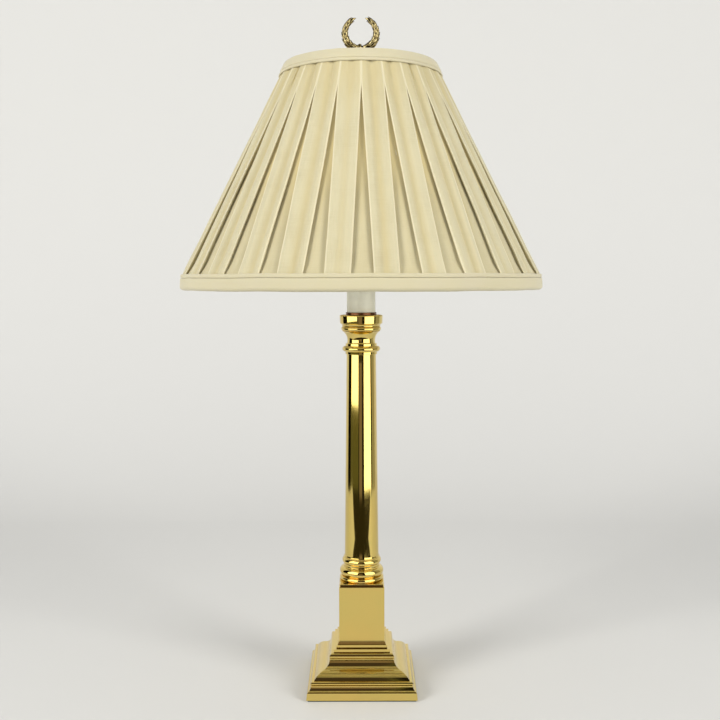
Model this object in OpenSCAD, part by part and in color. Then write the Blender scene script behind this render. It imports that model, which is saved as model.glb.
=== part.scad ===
// Brass column table lamp with a pleated empire shade, all dimensions in mm.
// Origin: centre of the footprint on the table. +Z up, the front faces -Y.

/* [Base] */
// half width of the foot at the table
base_half = 59.7; // [45:0.1:75]
// height of the plain foot slab above the felt
slab_top = 9.7; // [8:0.1:20]
// felt under the foot
felt_t = 1.6; // [1:0.1:3]
// top of the stepped mouldings, where the block stands
block_z = 52.7; // [40:0.1:70]
// half width of the square block
block_half = 25.0; // [18:0.1:35]
// top of the square block
block_top = 112.6; // [80:0.1:150]
// top of the square cap plate
plate_top = 115.8; // [84:0.1:155]
// cord outlet bore radius
outlet_r = 2.8; // [2.5:0.1:3.2]

/* [Column] */
// underside of the shaft
shaft_z = 141.9; // [130:0.1:170]
// top of the shaft
shaft_top = 368.6; // [250:0.1:450]
// shaft radius at the bottom
shaft_r = 19.1; // [14:0.1:26]
// shaft radius at the top
shaft_top_r = 16.5; // [12:0.1:24]
// shaft tube wall
shaft_wall = 1.6; // [1:0.1:3]
// underside of the candle cup
cup_z = 399.5; // [280:0.1:480]
// top of the candle cup
cup_top = 412.0; // [290:0.1:490]
// candle sleeve outer radius
sleeve_r = 15.88; // [12:0.01:20]
// top of the candle sleeve
sleeve_top = 470.0; // [430:0.1:500]
// lamp pipe outer radius
pipe_r = 4.85; // [4:0.01:6.5]
// hole radius for the lamp pipe in each turned part
pipe_hole_r = 5.1; // [4.2:0.05:7]

/* [Socket and bulb] */
// level of the harp saddle
saddle_z = 471.4; // [440:0.1:520]
// socket shell outer radius
shell_r = 17.0; // [14:0.1:20]
// top rim of the socket shell
shell_top = 531.0; // [500:0.1:560]
// height of the switch stem
key_z = 494.0; // [485:0.1:505]
// bulb radius
bulb_r = 30.0; // [20:0.5:35]
// bulb centre height
bulb_z = 578.0; // [560:0.5:600]

/* [Harp] */
// harp wire radius
harp_wire_r = 1.6; // [1.2:0.05:2.5]
// distance of each harp leg's foot from the axis
leg_x = 24.5; // [22:0.1:30]
// half width of the harp around the bulb
harp_half = 47.0; // [38:0.5:60]
// height of the harp's apex, wire centre
harp_apex = 669.5; // [620:0.5:720]
// stud radius (1/4 inch)
stud_r = 3.1; // [2.5:0.01:4]

/* [Shade] */
// top radius of the pleated cover
cover_top_r = 83.0; // [70:0.5:120]
// top edge of the pleated cover
cover_top = 686.5; // [600:0.5:760]
// radius of the cover where it meets the hem
cover_low_r = 195.8; // [150:0.5:240]
// height of that point
cover_low = 458.0; // [430:0.5:500]
// outer radius of the hem
hem_r = 198.5; // [150:0.5:245]
// lowest edge of the shade
hem_z = 440.5; // [400:0.5:470]
// number of upright wires in the frame
rib_count = 12; // [6:1:16]
// number of spider arms
arm_count = 3; // [3:1:4]
// frame wire radius
wire_r = 1.25; // [1:0.05:2]

/* [Finial] */
// height of the wreath's centre
wreath_z = 723.5; // [700:0.5:780]
// centre-line radius of the wreath
wreath_r = 17.4; // [12:0.1:25]
// radius of the wreath's stem
wreath_stem_r = 2.6; // [2:0.1:6]
// half angle of the gap at the top of the wreath
wreath_gap = 19; // [8:1:40]
// leaf groups on each side of the wreath
leaf_rows = 9; // [6:1:14]

/* [Hidden] */
$fa = 4;
$fs = 0.6;
e = 0.01;
ring_top_r = cover_top_r - 2.0;
ring_top_z = cover_top - 2.2;
ring_low_r = hem_r - 5.4;
ring_low_z = hem_z + 4.1;
rib_slope = (ring_low_r - ring_top_r) / (ring_top_z - ring_low_z);
rib_tilt = atan(rib_slope);
rib_len = (ring_top_z - ring_low_z) / cos(rib_tilt);
arc_z = harp_apex - harp_half;
bend_a = 50;
bend_r = (harp_half - leg_x) / (2 * (1 - cos(bend_a)));
bend_z = 500;
bend_h = 2 * bend_r * sin(bend_a);
seat_z = harp_apex + 3.1;
washer_z = seat_z + 0.1;
washer_t = 1.7;
finial_z = washer_z + washer_t + 0.1;
arm_r = wire_r + 0.25;
arm_start = 10;
slit = 0.3;
lining_in = 1.65;
ball_z = finial_z + 21.6;
ball_r = 5.0;
screw_seat = 12.6;
key_start = 5.8;
key_end = 29.0;
knob_start = 26.05;
outlet_z = 5.6;
ferrule_x = leg_x - 0.9;
brass = [0.80, 0.62, 0.28];
steel = [0.62, 0.62, 0.64];
cream = [0.93, 0.89, 0.74];
dark = [0.18, 0.15, 0.12];

// frame radius at a height, along the straight upright wires
function rib_r(z) = ring_top_r + (ring_top_z - z) * rib_slope;

// cover outer radius at a height
function cover_r(z) = cover_top_r + (cover_top - z) * (cover_low_r - cover_top_r)
    / (cover_top - cover_low);

// plain rectangle between two radii and two heights
module band(r0, r1, z0, z1) {
    translate([r0, z0]) square([r1 - r0, z1 - z0]);
}

// half of a bead: centre radius, centre height, bead radius
module bead(r, z, b) {
    translate([r, z]) circle(r = b);
}

// both halves of a moulding profile
module both() {
    children();
    mirror([1, 0]) children();
}

// square moulding with mitred corners from one symmetric profile
module mitred(w) {
    intersection() {
        rotate([90, 0, 0]) linear_extrude(height = 2 * w, center = true) children();
        rotate([90, 0, 90]) linear_extrude(height = 2 * w, center = true) children();
    }
}

module pipe_hole(z0, z1) {
    translate([0, 0, z0]) cylinder(r = pipe_hole_r, h = z1 - z0);
}

module square_block(w, z0, z1) {
    translate([-w, -w, z0]) cube([2 * w, 2 * w, z1 - z0]);
}

// ---- base ----

module felt_pad() {
    color([0.16, 0.22, 0.17])
    difference() {
        square_block(base_half - 1.6, 0, felt_t);
        translate([0, 0, -1]) cylinder(r = 9, h = felt_t + 2);
    }
}

// outer profile of the stepped plinth, one side
module plinth_half() {
    polygon([[0, felt_t], [base_half, felt_t], [base_half - 0.9, slab_top - 0.7],
        [base_half - 1.5, slab_top], [0, slab_top]]);
    difference() {
        band(0, 57.6, slab_top - e, 15.5);
        bead(61.2, 15.3, 6.4);
    }
    band(0, 53.3, 15.5 - e, 19.3);
    bead(53.2, 17.4, 1.9);
    band(0, 41.6, 19.3 - e, 27.2);
    intersection() {
        bead(36.5, 10.05, 17.9);
        band(36.5, 52.5, 19.3 - e, 27.2);
    }
    difference() {
        band(0, 41.6, 27.2 - e, 35.5);
        bead(45.07, 36.5, 9.94);
    }
    band(0, 31.9, 35.5 - e, 42.4);
    bead(31.8, 38.95, 3.45);
    band(0, 30.8, 42.4 - e, 45.8);
    band(0, 27.9, 45.8 - e, 49.4);
    polygon([[0, 49.4 - e], [26.6, 49.4 - e], [25.7, block_z - 1.2],
        [25.6, block_z], [0, block_z]]);
}

module base_plinth() {
    color(brass)
    difference() {
        mitred(base_half + 2) both() plinth_half();
        square_block(55.2, felt_t - 1, 9.4);
        square_block(48.6, 9.3, 18.0);
        square_block(30.0, 17.9, 25.5);
        square_block(28.0, 25.4, 42.0);
        pipe_hole(41, block_z + 1);
        translate([0, 48, outlet_z]) rotate([-90, 0, 0]) cylinder(r = 3.55, h = 12);
        translate([0, 57.0, outlet_z]) rotate([-90, 0, 0]) cylinder(r = 4.0, h = 4);
    }
}

module base_weight() {
    color(dark)
    difference() {
        square_block(46, 9.6, 17.9);
        translate([0, 0, 9]) cylinder(r = 22, h = 10);
        translate([-5, 15, 9]) cube([10, 40, 5]);
    }
}

module cord_bushing() {
    color(dark)
    translate([0, 0, outlet_z]) rotate([-90, 0, 0])
    difference() {
        union() {
            translate([0, 0, 52]) cylinder(r = 3.5, h = 6.5);
            translate([0, 0, 57.05]) cylinder(r = 3.9, h = 1.5);
        }
        translate([0, 0, 50]) cylinder(r = outlet_r, h = 12);
    }
}

module pedestal_block() {
    color(brass)
    difference() {
        square_block(block_half, block_z, block_top);
        square_block(block_half - 2.2, block_z - 1, block_top + 1);
    }
}

module cap_plate() {
    color(brass)
    difference() {
        union() {
            square_block(block_half - 1.4, block_top, plate_top - 0.8);
            square_block(block_half - 0.8, plate_top - 0.9, plate_top);
        }
        pipe_hole(block_top - 1, plate_top + 1);
    }
}

// ---- column ----

module column_base() {
    color(brass)
    difference() {
        rotate_extrude() {
            band(0, 22.1, plate_top, 120.6);
            bead(22.1, 118.2, 2.4);
            band(0, 19.7, 120.5, 130.2);
            bead(19.7, 125.4, 4.8);
            band(0, 20.5, 130.1, 131.4);
            band(0, 19.3, 131.3, 133.4);
            band(0, 18.0, 133.3, 140.9);
            bead(18.0, 137.1, 3.8);
            band(0, 20.0, 140.8, shaft_z);
        }
        pipe_hole(plate_top - 1, shaft_z + 1);
    }
}

module column_shaft() {
    color(brass)
    rotate_extrude()
    difference() {
        polygon([[0, shaft_z], [shaft_r + 0.5, shaft_z], [shaft_r + 0.15, shaft_z + 0.6],
            [shaft_r, shaft_z + 1.6], [shaft_top_r, shaft_top], [0, shaft_top]]);
        polygon([[-1, shaft_z - 1], [shaft_r - shaft_wall, shaft_z - 1],
            [shaft_top_r - shaft_wall, shaft_top + 1], [-1, shaft_top + 1]]);
    }
}

module capital() {
    color(brass)
    difference() {
        rotate_extrude() {
            band(0, 17.8, shaft_top, 371.4);
            band(0, 17.9, 371.3, 377.9);
            bead(17.9, 374.6, 3.3);
            band(0, 17.6, 377.8, 380.6);
            difference() {
                band(0, 21.4, 380.5, 394.4);
                bead(27.6, 384.0, 12.0);
            }
            band(0, 19.7, 394.3, cup_z);
            intersection() {
                bead(19.7, 397.0, 2.7);
                band(19.6, 23, 394.3, cup_z);
            }
        }
        pipe_hole(shaft_top - 1, cup_z + 1);
    }
}

module candle_cup() {
    color(brass)
    difference() {
        rotate_extrude()
        difference() {
            union() {
                polygon([[0, cup_z], [21.4, cup_z], [21.5, cup_z + 1.0], [22.3, cup_z + 2.3],
                    [23.5, cup_z + 3.4], [24.3, cup_top - 1.0], [23.9, cup_top], [0, cup_top]]);
            }
            band(-1, sleeve_r + 0.07, cup_top - 3.7, cup_top + 1);
            polygon([[sleeve_r + 1.4, cup_top - 0.9], [22.4, cup_top - 0.9],
                [23.3, cup_top + 0.1], [sleeve_r + 1.4, cup_top + 0.1]]);
        }
        pipe_hole(cup_z - 1, cup_top + 1);
    }
}

module sleeve_collar() {
    color(brass)
    rotate_extrude() {
        band(sleeve_r + 0.05, sleeve_r + 1.3, cup_top, cup_top + 2.4);
        intersection() {
            bead(sleeve_r + 0.5, cup_top + 2.4, 0.8);
            band(sleeve_r + 0.05, sleeve_r + 1.3, cup_top + 2, cup_top + 3.3);
        }
    }
}

module candle_sleeve() {
    color([0.93, 0.91, 0.82])
    difference() {
        translate([0, 0, cup_top - 3.7]) cylinder(r = sleeve_r, h = sleeve_top - cup_top + 3.7);
        translate([0, 0, cup_top - 5]) cylinder(r = sleeve_r - 1.4, h = 90);
    }
}

module sleeve_cap() {
    color(brass)
    difference() {
        union() {
            translate([0, 0, sleeve_top]) cylinder(r = sleeve_r + 0.6, h = saddle_z - sleeve_top);
            translate([0, 0, sleeve_top - 3]) cylinder(r = sleeve_r - 1.5, h = 3.1);
        }
        pipe_hole(sleeve_top - 5, saddle_z + 1);
    }
}

module threaded_rod() {
    color(steel)
    difference() {
        translate([0, 0, 33]) cylinder(r = pipe_r, h = 446);
        translate([0, 0, 32]) cylinder(r = 3.4, h = 448);
    }
}

// hexagon nut on the lamp pipe
module hex_nut(z, h) {
    translate([0, 0, z])
    intersection() {
        cube([14.2, 30, 2 * h], center = true);
        rotate([0, 0, 60]) cube([14.2, 30, 2 * h], center = true);
        rotate([0, 0, 120]) cube([14.2, 30, 2 * h], center = true);
        cylinder(r = 8.0, h = h);
    }
}

module rod_nuts() {
    color(steel)
    difference() {
        union() {
            hex_nut(36.4, 4.2);
            hex_nut(cup_top - 2.4, 4.0);
        }
        translate([0, 0, 30]) cylinder(r = pipe_r + 0.02, h = 450);
    }
}

module rod_washers() {
    color(steel)
    difference() {
        union() {
            translate([0, 0, 40.7]) cylinder(r = 13, h = 1.25);
            translate([0, 0, cup_top - 3.65]) cylinder(r = 9, h = 1.2);
        }
        translate([0, 0, 30]) cylinder(r = pipe_r + 0.2, h = 450);
    }
}

// ---- saddle, socket and switch ----

module harp_saddle() {
    color(brass)
    difference() {
        union() {
            translate([-leg_x - 2.1, -5, saddle_z]) cube([2 * leg_x + 4.2, 10, 1.6]);
            for (s = [-1, 1])
                translate([s * (leg_x - 2.4) - 0.5, -2, saddle_z]) cube([1, 4, 14.6]);
        }
        pipe_hole(saddle_z - 1, saddle_z + 3);
    }
}

module socket_cap() {
    z = saddle_z + 1.65;
    color(brass)
    rotate_extrude()
    difference() {
        polygon([[0, z], [8, z], [8, z + 3.4], [12.5, z + 5.2], [16.4, z + 8.4],
            [17.9, z + 12.4], [17.9, z + 16.5], [0, z + 16.5]]);
        polygon([[-1, z + 4.4], [7.2, z + 4.4], [11.8, z + 6.2], [15.6, z + 9.2],
            [17.08, z + 12.6], [17.08, z + 17], [-1, z + 17]]);
        band(-1, pipe_r + 0.02, z - 1, z + 6);
    }
}

module socket_shell() {
    color(brass)
    difference() {
        rotate_extrude() {
            band(shell_r - 0.6, shell_r, 485.9, shell_top);
            bead(shell_r - 0.1, shell_top - 0.6, 0.7);
            bead(shell_r - 0.1, 506, 0.6);
        }
        translate([0, 0, key_z]) rotate([90, 0, 0]) cylinder(r = 3.4, h = 30);
    }
}

module socket_insulator() {
    color([0.72, 0.60, 0.42])
    difference() {
        translate([0, 0, 486.4]) cylinder(r = shell_r - 0.8, h = shell_top - 488.4);
        translate([0, 0, 486]) cylinder(r = shell_r - 1.5, h = shell_top - 480);
        translate([0, 0, key_z]) rotate([90, 0, 0]) cylinder(r = 3.4, h = 30);
    }
}

module socket_body() {
    color(dark)
    difference() {
        union() {
            translate([0, 0, 482]) cylinder(r = 9, h = 5);
            translate([0, 0, 486.9]) cylinder(r = 13.2, h = 12.1);
        }
        translate([0, -5.5, key_z]) rotate([90, 0, 0]) cylinder(r = 2.05, h = 20);
        for (s = [-1, 1])
            translate([s * (screw_seat + 1) - 1, -3.2, 488.8]) cube([2, 6.4, 6.4]);
    }
}

module screw_shell() {
    color(brass)
    rotate_extrude() {
        band(13.4, 13.9, 499.02, 527.5);
        band(6, 13.5, 499.02, 499.7);
    }
}

module centre_contact() {
    color(brass) {
        translate([0, 0, 499.02]) cylinder(r = 3.0, h = 1.4);
        translate([0, 0, 500.3]) cylinder(r = 1.8, h = 1.2);
    }
}

module terminal_screws() {
    color(steel)
    for (s = [-1, 1])
        difference() {
            translate([s * (screw_seat + 0.02), 0, 492]) rotate([0, s * 90, 0]) cylinder(r = 2.6, h = 2.1);
            translate([s * (screw_seat + 2.12) - 0.5, -3, 491.7]) cube([1, 6, 0.6]);
        }
}

module switch_stem() {
    color(brass)
    translate([0, -key_start, key_z]) rotate([90, 0, 0]) cylinder(r = 2.0, h = key_end - key_start);
}

module switch_knob() {
    color(dark)
    translate([0, -knob_start, key_z]) rotate([90, 0, 0])
    difference() {
        union() {
            cylinder(r = 3.4, h = 3.1);
            intersection() {
                translate([0, 0, 3]) cylinder(r = 7.5, h = 11);
                translate([-7.5, -2.2, 3]) cube([15, 4.4, 11]);
            }
        }
        translate([0, 0, -1]) cylinder(r = 2.05, h = key_end - knob_start + 1.1);
    }
}

// ---- bulb ----

module bulb_outline(t) {
    bead(0, bulb_z, bulb_r - t);
    polygon([[0, 527.4 + t], [13.2 - t, 527.4 + t], [14 - t, 536],
        [27.36 - 0.91 * t, 565.69 + 0.41 * t], [0, bulb_z]]);
}

module bulb_glass() {
    color([0.96, 0.96, 0.94, 0.5])
    rotate_extrude()
    intersection() {
        difference() {
            bulb_outline(0);
            bulb_outline(0.9);
        }
        band(0, 60, 500, 640);
    }
}

module bulb_cap() {
    color(steel)
    rotate_extrude()
    difference() {
        union() {
            band(0, 12.3, 504.4, 527.3);
            for (i = [0 : 5])
                bead(12.0, 508.6 + i * 3.0, 1.0);
        }
        band(-1, 11.5, 505.2, 528);
    }
}

module bulb_insulator() {
    color(dark)
    rotate_extrude()
    polygon([[0, 502.5], [4.8, 502.5], [11.4, 504.36], [0, 504.36]]);
}

module bulb_contact() {
    color(steel)
    translate([0, 0, 501.85]) cylinder(r = 4.4, h = 0.63);
}

module bulb_filament() {
    color([0.9, 0.9, 0.9]) {
        translate([0, 0, 528.35]) cylinder(r1 = 9, r2 = 3, h = 8.65);
        translate([0, 0, 536.9]) cylinder(r = 2.2, h = 22);
        for (s = [-1, 1])
            translate([0, 0, 557]) rotate([0, s * 32, 0]) cylinder(r = 0.4, h = 24);
        translate([-12.6, 0, 577.3]) rotate([0, 90, 0]) cylinder(r = 0.7, h = 25.2);
    }
}

// ---- harp ----

// wire arc in the X-Z plane about a point, from angle a over sweep s
module wire_arc(x, z, r, a, s) {
    trim = 3 / r;
    translate([x, 0, z]) rotate([90, 0, 0]) rotate([0, 0, a + trim])
        rotate_extrude(angle = s - 2 * trim) translate([r, 0]) circle(r = harp_wire_r);
}

// joint between two lengths of wire
module wire_joint(x, z) {
    translate([x, 0, z]) sphere(r = harp_wire_r + 0.03);
}

module harp_leg() {
    foot = saddle_z + 1.7;
    translate([leg_x, 0, foot]) cylinder(r = harp_wire_r, h = bend_z - foot - 0.05);
    wire_joint(leg_x, bend_z);
    wire_arc(leg_x + bend_r, bend_z, bend_r, 180 - bend_a, bend_a);
    wire_joint(leg_x + bend_r * (1 - cos(bend_a)), bend_z + bend_h / 2);
    wire_arc(harp_half - bend_r, bend_z + bend_h, bend_r, -bend_a, bend_a);
    wire_joint(harp_half, bend_z + bend_h);
    translate([harp_half, 0, bend_z + bend_h + 0.05])
        cylinder(r = harp_wire_r, h = arc_z - bend_z - bend_h - 0.1);
    wire_joint(harp_half, arc_z);
}

module harp_wire() {
    color(brass) {
        harp_leg();
        mirror([1, 0, 0]) harp_leg();
        wire_arc(0, arc_z, harp_half, 0, 180);
    }
}

module harp_stud() {
    color(brass) {
        translate([0, 0, harp_apex - 3]) cylinder(r = 4.6, h = 4.8);
        translate([0, 0, seat_z - 1.4]) cylinder(r = 7.6, h = 1.4);
        translate([0, 0, seat_z - e]) cylinder(r = stud_r, h = 17);
    }
}

module ferrule(s) {
    color(brass)
    translate([s * ferrule_x, 0, saddle_z + 1.7])
    difference() {
        union() {
            cylinder(r = 4.2, h = 14);
            cylinder(r = 4.7, h = 1.6);
        }
        translate([0, 0, -1]) cylinder(r = 3.25, h = 17);
    }
}

module ferrule_left() {
    ferrule(-1);
}

module ferrule_right() {
    ferrule(1);
}

// ---- shade ----

module shade_cover() {
    color(cream)
    rotate_extrude()
    polygon([[cover_top_r, cover_top], [cover_low_r, cover_low], [hem_r - 1.8, hem_z + 5.6],
        [hem_r - 4.4, hem_z + 5.6], [cover_low_r - 2.6, cover_low],
        [cover_top_r - 1.4, cover_top]]);
}

// straight wires from the washer out to the top ring; also cut the slits the cloth has round them
module arm_paths(r) {
    run = ring_top_r - wire_r - arm_start;
    rise = ring_top_z - washer_z - 0.9;
    for (i = [0 : arm_count - 1])
        rotate([0, 0, 90 + i * 360 / arm_count])
            translate([arm_start, 0, washer_z + 0.85]) rotate([0, atan2(run, rise), 0])
                cylinder(r = r, h = sqrt(run * run + rise * rise) + 0.6);
}

module shade_lining() {
    z0 = ring_low_z - 0.4;
    z1 = ring_top_z + 1.0;
    color([0.96, 0.94, 0.86])
    difference() {
        rotate_extrude()
        polygon([[rib_r(z0) - lining_in, z0], [rib_r(z1) - lining_in, z1],
            [rib_r(z1) - lining_in - 0.6, z1], [rib_r(z0) - lining_in - 0.6, z0]]);
        arm_paths(arm_r + slit);
    }
}

module top_ring() {
    color(steel) rotate_extrude() bead(ring_top_r, ring_top_z, wire_r);
}

module bottom_ring() {
    color(steel) rotate_extrude() bead(ring_low_r, ring_low_z, wire_r);
}

module ribs() {
    color(steel)
    for (i = [0 : rib_count - 1])
        rotate([0, 0, (i + 0.5) * 360 / rib_count])
            translate([ring_low_r, 0, ring_low_z]) rotate([0, -rib_tilt, 0])
                translate([0, 0, 1.0]) cylinder(r = wire_r - 0.2, h = rib_len - 2.0);
}

module spider_arms() {
    color(brass) arm_paths(arm_r);
}

module fitter_washer() {
    color(brass)
    translate([0, 0, washer_z])
    difference() {
        cylinder(r = 11.5, h = washer_t);
        translate([0, 0, -1]) cylinder(r = stud_r + 0.45, h = washer_t + 2);
    }
}

module top_trim() {
    z0 = cover_top - 9.2;
    fold = lining_in + 0.7;
    color(cream)
    difference() {
        rotate_extrude()
        polygon([[cover_r(z0) + 0.1, z0], [cover_r(z0) + 1.5, z0 + 0.3],
            [cover_top_r + 1.9, cover_top - 0.3], [cover_top_r + 0.9, cover_top + 1.3],
            [cover_top_r - 4.4, cover_top + 1.3], [cover_top_r - 5.2, cover_top + 0.3],
            [rib_r(z0 + 2) - fold - 1.05, z0 + 2], [rib_r(z0 + 2) - fold, z0 + 2],
            [rib_r(cover_top) - fold, cover_top + 0.1], [cover_top_r + 0.1, cover_top + 0.1]]);
        arm_paths(arm_r + slit);
    }
}

module top_piping() {
    z0 = cover_top - 12.8;
    z1 = cover_top - 9.35;
    color(cream)
    rotate_extrude()
    polygon([[cover_r(z0) + 0.1, z0], [cover_r(z0) + 1.0, z0 + 0.5],
        [cover_r(z1) + 1.0, z1 - 0.4], [cover_r(z1) + 0.1, z1]]);
}

module bottom_trim() {
    z1 = hem_z + 13.0;
    fold = lining_in + 0.7;
    color(cream)
    rotate_extrude()
    polygon([[hem_r - 1.7, z1], [hem_r - 0.4, z1 - 0.3], [hem_r, hem_z + 7],
        [hem_r - 0.4, hem_z + 1.2], [hem_r - 1.6, hem_z], [hem_r - 8.6, hem_z],
        [hem_r - 9.4, hem_z + 1.0],
        [rib_r(hem_z + 9) - fold - 1.05, hem_z + 9], [rib_r(hem_z + 9) - fold, hem_z + 9],
        [hem_r - 8.2, hem_z + 1.4], [hem_r - 2.2, hem_z + 1.4], [hem_r - 1.7, hem_z + 5.5]]);
}

module bottom_piping() {
    z0 = hem_z + 13.1;
    z1 = hem_z + 16.9;
    color(cream)
    rotate_extrude()
    polygon([[hem_r - 1.7, z0], [hem_r - 0.6, z0 + 0.4], [hem_r - 0.8, z1 - 0.5],
        [hem_r - 1.8, z1], [hem_r - 2.5, z1]]);
}

// ---- finial ----

module finial_base() {
    color(brass)
    difference() {
        rotate_extrude() {
            band(0, 7.0, finial_z, finial_z + 2.0);
            bead(7.0, finial_z + 1.0, 1.0);
            band(0, 5.2, finial_z + 1.9, finial_z + 6.5);
            band(0, 4.9, finial_z + 6.4, finial_z + 10.0);
            bead(4.9, finial_z + 8.2, 1.8);
            band(0, 4.4, finial_z + 9.9, finial_z + 20);
            intersection() {
                bead(0, ball_z, ball_r);
                band(0, 6, finial_z + 10, finial_z + 30);
            }
        }
        translate([0, 0, finial_z - 1]) cylinder(r = stud_r + 0.08, h = 18.2);
    }
}

// one side of the wreath: flared leaf whorls strung along the arc, then a pointed tip
module wreath_half() {
    span = 180 - wreath_gap - 22;
    step = span / leaf_rows;
    len = 2 * wreath_r * sin(step / 2) + 1.2;
    for (i = [0 : leaf_rows - 1]) {
        a = -90 + i * step + (i == 0 ? 3 : 0);
        translate([wreath_r * cos(a), 0, wreath_r * sin(a)]) rotate([0, -a - step / 2, 0])
            cylinder(r1 = wreath_stem_r + 0.6, r2 = wreath_stem_r + 2.0, h = len);
    }
    translate([wreath_r * cos(span - 90), 0, wreath_r * sin(span - 90)])
        rotate([0, -span + 90 - 10, 0])
            cylinder(r1 = wreath_stem_r + 1.4, r2 = 0.5, h = 9.0);
}

module finial_wreath() {
    color(brass)
    translate([0, 0, wreath_z]) {
        wreath_half();
        mirror([1, 0, 0]) wreath_half();
    }
}

module finial_ribbon() {
    color(brass)
    difference() {
        union() {
            translate([0, 0, wreath_z - wreath_r]) rotate([90, 0, 0])
                cylinder(r = 5.2, h = 8.8, center = true);
            for (s = [-1, 1])
                translate([s * 3.2, 0, wreath_z - wreath_r - 3.5]) rotate([0, s * 40, 0])
                    cylinder(r1 = 1.2, r2 = 2.6, h = 5.6);
        }
        translate([0, 0, ball_z]) sphere(r = ball_r + 0.02);
    }
}

felt_pad();
base_plinth();
base_weight();
cord_bushing();
pedestal_block();
cap_plate();
column_base();
column_shaft();
capital();
candle_cup();
sleeve_collar();
candle_sleeve();
sleeve_cap();
threaded_rod();
rod_nuts();
rod_washers();
harp_saddle();
socket_cap();
socket_shell();
socket_insulator();
socket_body();
screw_shell();
centre_contact();
terminal_screws();
switch_stem();
switch_knob();
bulb_glass();
bulb_cap();
bulb_insulator();
bulb_contact();
bulb_filament();
harp_wire();
harp_stud();
ferrule_left();
ferrule_right();
shade_cover();
shade_lining();
top_ring();
bottom_ring();
ribs();
spider_arms();
fitter_washer();
top_trim();
top_piping();
bottom_trim();
bottom_piping();
finial_base();
finial_wreath();
finial_ribbon();
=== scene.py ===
"""Brass column table lamp with a box-pleated empire shade."""

import math
import random
from types import SimpleNamespace

import bmesh
import bpy
from mathutils import Matrix, Vector, noise


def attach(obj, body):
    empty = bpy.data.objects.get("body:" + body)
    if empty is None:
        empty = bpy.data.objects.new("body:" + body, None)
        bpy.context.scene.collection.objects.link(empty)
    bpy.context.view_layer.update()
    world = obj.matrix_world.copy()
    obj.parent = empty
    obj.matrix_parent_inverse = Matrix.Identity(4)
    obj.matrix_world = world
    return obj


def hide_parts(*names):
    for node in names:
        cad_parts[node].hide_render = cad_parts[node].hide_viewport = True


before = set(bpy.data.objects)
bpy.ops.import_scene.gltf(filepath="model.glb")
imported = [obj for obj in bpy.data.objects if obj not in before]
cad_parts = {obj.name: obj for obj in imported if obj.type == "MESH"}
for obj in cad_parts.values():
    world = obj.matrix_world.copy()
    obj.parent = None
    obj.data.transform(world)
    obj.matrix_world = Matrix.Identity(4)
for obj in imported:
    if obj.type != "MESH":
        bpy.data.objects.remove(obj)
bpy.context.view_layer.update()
MM = 0.001
TAU = 2 * math.pi


# ---------------------------------------------------------------- helpers

def smooth(t):
    """0 to 1 with flat ends."""
    t = min(max(t, 0.0), 1.0)
    return t * t * (3 - 2 * t)


def lerp(a, b, t):
    """From a to b as t goes from 0 to 1."""
    return a + (b - a) * t


def new_object(name, verts, faces, material, body=None):
    """A new smooth-shaded mesh object, which rides on a body when one is named."""
    mesh = bpy.data.meshes.new(name)
    mesh.from_pydata(verts, [], faces)
    mesh.update()
    obj = bpy.data.objects.new(name, mesh)
    bpy.context.collection.objects.link(obj)
    mesh.materials.append(material)
    mesh.shade_smooth()
    if body:
        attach(obj, body)
    return obj


def add_values(obj, name, values):
    """Gives each vertex a value that a material can read."""
    obj.data.attributes.new(name, "FLOAT", "POINT").data.foreach_set("value", values)


def grid_faces(rows, cols, wrap_rows=False):
    """Quads of a rows x cols grid of vertices whose rows close on themselves."""
    faces = []
    for i in range(rows if wrap_rows else rows - 1):
        for j in range(cols):
            row, row_after = i * cols, ((i + 1) % rows) * cols
            after = (j + 1) % cols
            faces.append((row + j, row + after, row_after + after, row_after + j))
    return faces


def tube_ends(rows, cols):
    """The two flat ends of a tube made by grid_faces."""
    last = (rows - 1) * cols
    return [tuple(reversed(range(cols))), tuple(last + j for j in range(cols))]


def arc(cx, cz, r, a0, a1, n):
    """Points on an arc in a profile, angles in degrees."""
    steps = [math.radians(lerp(a0, a1, k / n)) for k in range(n + 1)]
    return [(cx + r * math.cos(a), cz + r * math.sin(a)) for a in steps]


def rounded(profile, r):
    """A profile, in mm, with each sharp corner rounded to radius about r."""
    steps = 3
    out = [profile[0]]
    for p, q, s in zip(profile, profile[1:], profile[2:]):
        p, q, s = Vector(p), Vector(q), Vector(s)
        u, v = p - q, s - q
        if u.length < 1e-6 or v.length < 1e-6:
            continue
        bend = math.pi - u.angle(v)
        cut = min(r * math.tan(bend / 2), 0.45 * u.length, 0.45 * v.length)
        if bend < math.radians(14) or cut < 1e-3:
            out.append(tuple(q))
            continue
        a, b = q + u.normalized() * cut, q + v.normalized() * cut
        for k in range(steps + 1):
            t = k / steps
            out.append(tuple((1 - t) ** 2 * a + 2 * t * (1 - t) * q + t * t * b))
    out.append(profile[-1])
    return out


def lathe(name, profile, material, body, segments=128):
    """A turned piece from a profile of (radius, height) in mm."""
    verts = []
    for r, z in profile:
        for j in range(segments):
            a = TAU * j / segments
            verts.append((r * MM * math.cos(a), r * MM * math.sin(a), z * MM))
    return new_object(name, verts, grid_faces(len(profile), segments), material, body)


def square_lathe(name, profile, material, body):
    """A square moulding, mitred at its corners, from a profile of (half width, height) in mm."""
    verts, faces = [], []
    for side in range(4):
        turn = Matrix.Rotation(side * math.pi / 2, 3, "Z")
        base = len(verts)
        for w, z in profile:
            for x in (-w, w):
                verts.append(tuple(turn @ Vector((x * MM, -w * MM, z * MM))))
        for i in range(len(profile) - 1):
            a = base + 2 * i
            faces.append((a, a + 1, a + 3, a + 2))
    obj = new_object(name, verts, faces, material, body)
    turn_outwards(obj, weld=1e-6)
    return obj


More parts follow.
